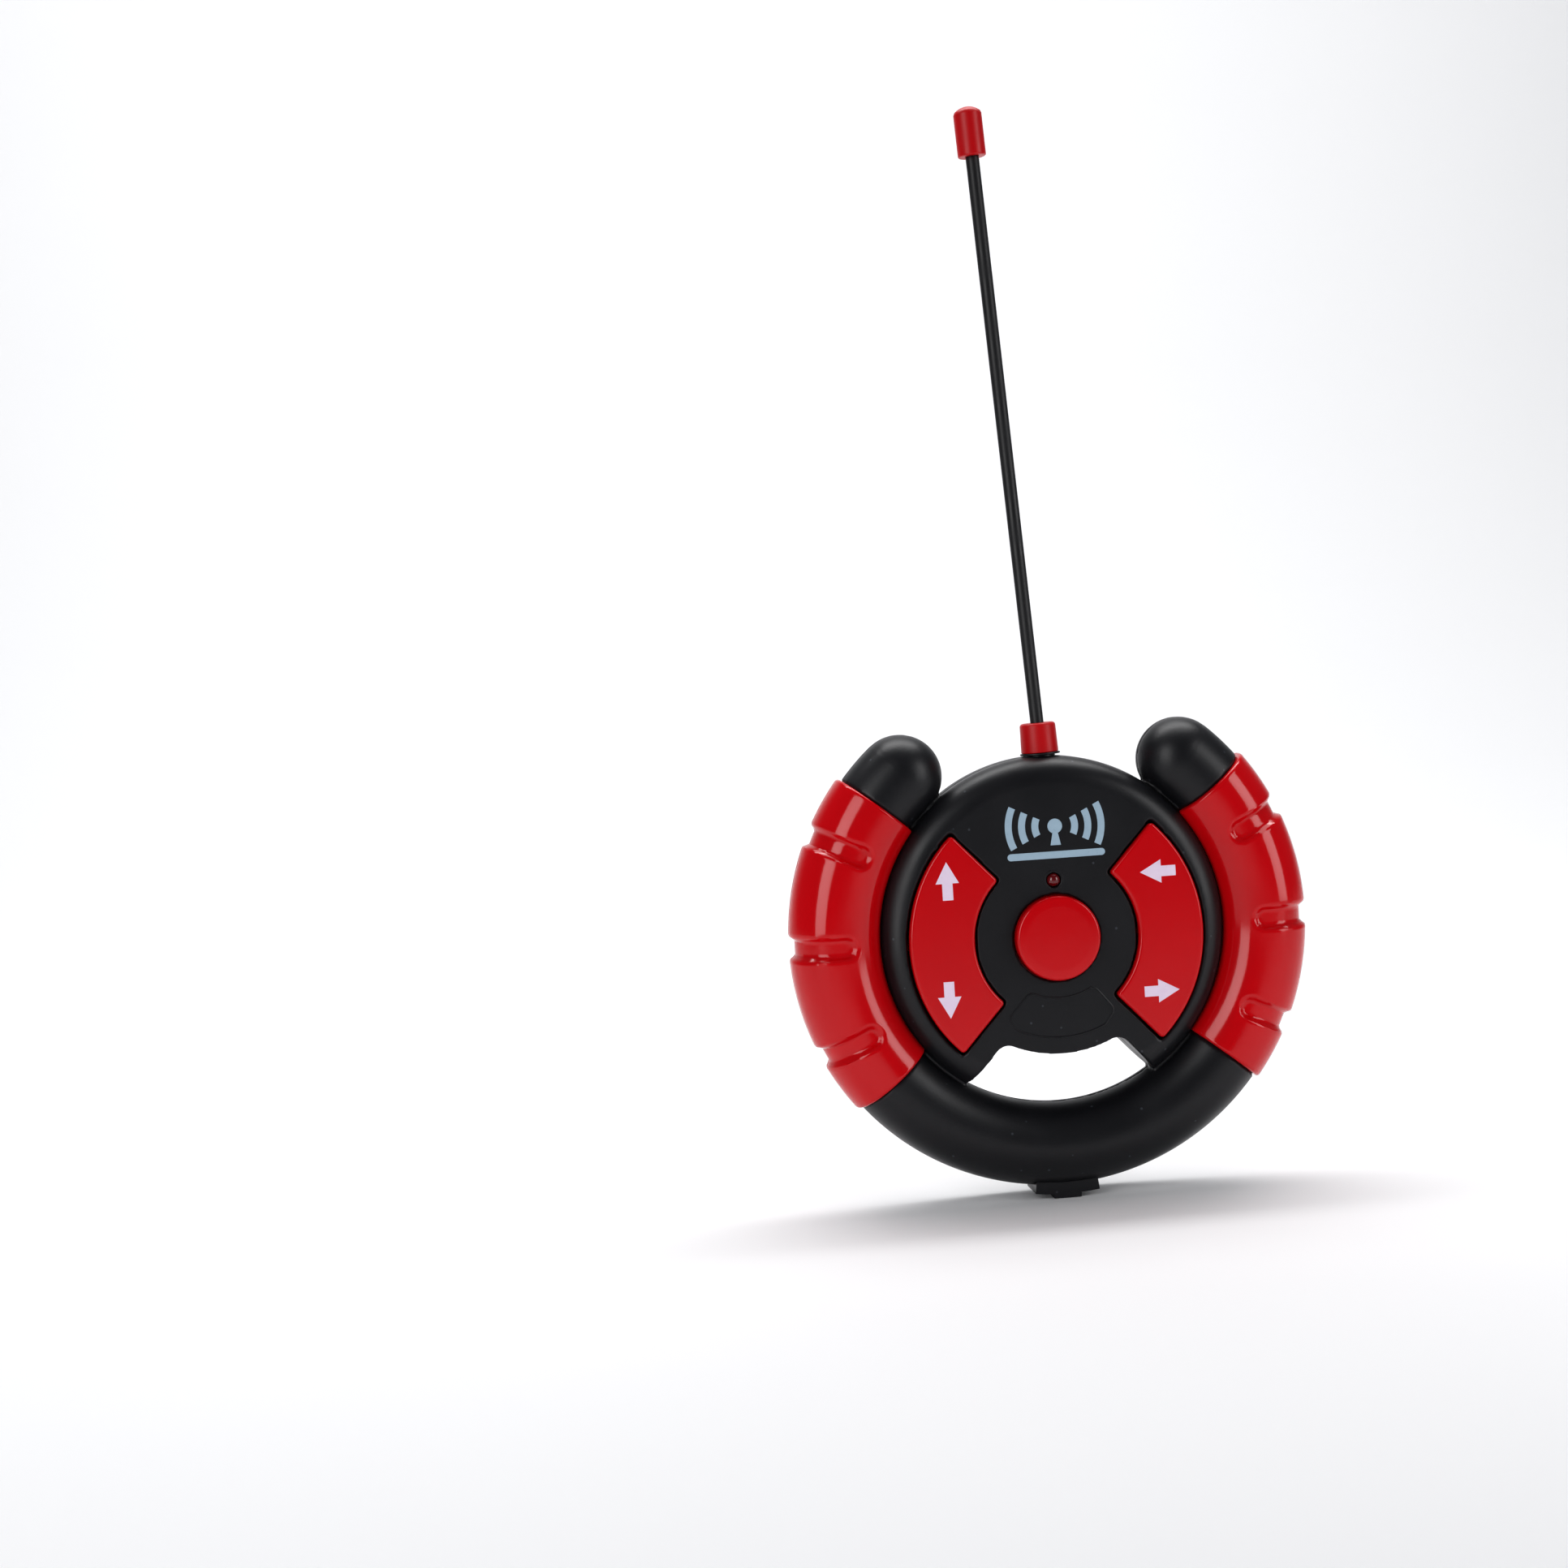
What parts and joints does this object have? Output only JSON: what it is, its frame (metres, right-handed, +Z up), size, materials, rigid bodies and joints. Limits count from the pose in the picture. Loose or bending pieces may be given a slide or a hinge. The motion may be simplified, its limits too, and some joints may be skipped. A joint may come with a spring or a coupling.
{
  "type": "radio transmitter controller",
  "caption": "Steering-wheel shaped radio transmitter for a toy car, with tilting rocker keys, a centre button, finger-grooved grips and a screwed-in rod antenna.",
  "frame": {"origin": "centre line of the wheel at the underside of the foot it stands on", "axes": "+Z up along the wheel's height, +X to the right seen from the front, front face towards -Y"},
  "size_m": [0.1498, 0.0358, 0.3101],
  "materials": {
    "black_abs": "satin, fine grained",
    "red_abs": "glossy",
    "red_satin": "satin",
    "black_rod": "matte",
    "screw_steel": "zinc plated",
    "board": "solder mask",
    "chip_black": "moulded epoxy",
    "can_steel": "drawn can",
    "cap_sleeve": "shrink sleeve",
    "resistor_tan": "lacquer",
    "keypad_rubber": "silicone",
    "lamp_red": "clear tinted",
    "cell_label": "printed film",
    "contact_nickel": "nickel plated",
    "wire_red": "wire insulation"
  },
  "bodies": {
    "body": {"front_shell": "black_abs", "rear_shell": "black_abs", "stand_foot": "black_abs", "left_grip_front": "red_abs", "left_grip_rear": "red_abs", "right_grip_front": "red_abs", "right_grip_rear": "red_abs", "shell_screws": "screw_steel", "grip_screws": "screw_steel", "rubber_keypad": "keypad_rubber", "circuit_board": "board", "board_screws": "screw_steel", "encoder_chip": "chip_black", "crystal": "can_steel", "tuning_coil": "can_steel", "electrolytic_capacitors": "cap_sleeve", "power_transistors": "chip_black", "resistors": "resistor_tan", "status_lamp": "lamp_red", "battery_cells": "cell_label", "battery_springs": "contact_nickel", "battery_plates": "contact_nickel", "battery_wires": "wire_red", "antenna_neck": "black_abs", "antenna_lead": "black_rod"},
    "left_rocker": {"left_rocker": "red_abs"},
    "right_rocker": {"right_rocker": "red_abs"},
    "centre_button": {"centre_button": "red_abs"},
    "battery_door": {"battery_door": "black_abs"},
    "door_screw": {"battery_door_screw": "screw_steel"},
    "antenna": {"antenna_rod": "black_rod", "antenna_core": "screw_steel", "antenna_cap": "red_satin"},
    "antenna_collar": {"antenna_collar": "red_satin"}
  },
  "joints": [
    {"name": "left_rocker_tilt", "type": "hinge", "parent": "body", "child": "left_rocker", "pos_m": [-0.0325, -0.007, 0.0752], "axis": [1, 0, 0], "range_deg": [-2.5, 2.5], "stiffness_Nm_per_rad": 0.6},
    {"name": "right_rocker_tilt", "type": "hinge", "parent": "body", "child": "right_rocker", "pos_m": [0.0325, -0.007, 0.0752], "axis": [1, 0, 0], "range_deg": [-2.5, 2.5], "stiffness_Nm_per_rad": 0.6},
    {"name": "centre_button_press", "type": "slide", "parent": "body", "child": "centre_button", "axis": [0, 1, 0], "range_m": [0, 0.0013], "stiffness_N_per_m": 900, "springref_m": -0.0006},
    {"name": "battery_door_open", "type": "hinge", "parent": "body", "child": "battery_door", "pos_m": [0, 0.0214, 0.0579], "axis": [1, 0, 0], "range_deg": [-75, 0]},
    {"name": "door_screw_turn", "type": "hinge", "parent": "battery_door", "child": "door_screw", "pos_m": [0, 0.0205, 0.0948], "axis": [0, 1, 0], "continuous": true},
    {"name": "antenna_lift", "type": "slide", "parent": "body", "child": "antenna", "axis": [-0.0349, 0, 0.9994], "range_m": [0, 0.004]},
    {"name": "collar_turn", "type": "hinge", "parent": "antenna", "child": "antenna_collar", "pos_m": [0.00045, 0, 0.1264], "axis": [-0.0349, 0, 0.9994], "range_deg": [0, 1440]}
  ],
  "couplings": [
    {"joint": "collar_turn", "follows": "antenna_lift", "rad_per_m": 6283.2}
  ]
}
